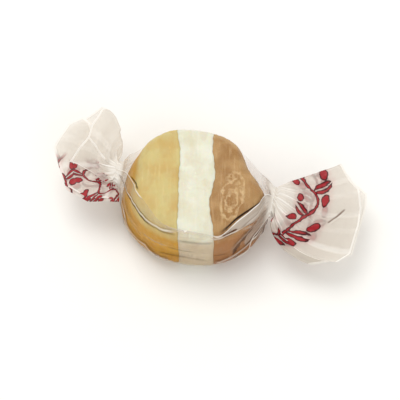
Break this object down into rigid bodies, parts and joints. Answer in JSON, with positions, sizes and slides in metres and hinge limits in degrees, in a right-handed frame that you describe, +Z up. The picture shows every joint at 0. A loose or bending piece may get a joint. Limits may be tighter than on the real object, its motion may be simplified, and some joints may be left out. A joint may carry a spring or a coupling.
{
  "type": "salt water taffy",
  "caption": "Wrapped salt water taffy: a short drum of layered pulled candy in translucent waxed paper, gathered at each end into a twisted neck and a fan-shaped tail.",
  "frame": {"origin": "on the underside of the wrapped candy, below its middle, where it rests", "axes": "+X along the twist axis from the caramel end to the brown end, +Z up out of the candy's round face, -Y towards the lap's free edge"},
  "size_m": [0.0586, 0.0259, 0.0142],
  "materials": {
    "taffy_caramel": "pulled taffy, satin",
    "taffy_cream": "pulled taffy, satin",
    "taffy_brown": "pulled taffy, satin",
    "waxed_paper": "translucent, waxed, creased"
  },
  "bodies": {
    "root": {"taffy_caramel": "taffy_caramel", "taffy_cream": "taffy_cream", "taffy_brown": "taffy_brown", "wrapper": "waxed_paper"}
  },
  "joints": []
}
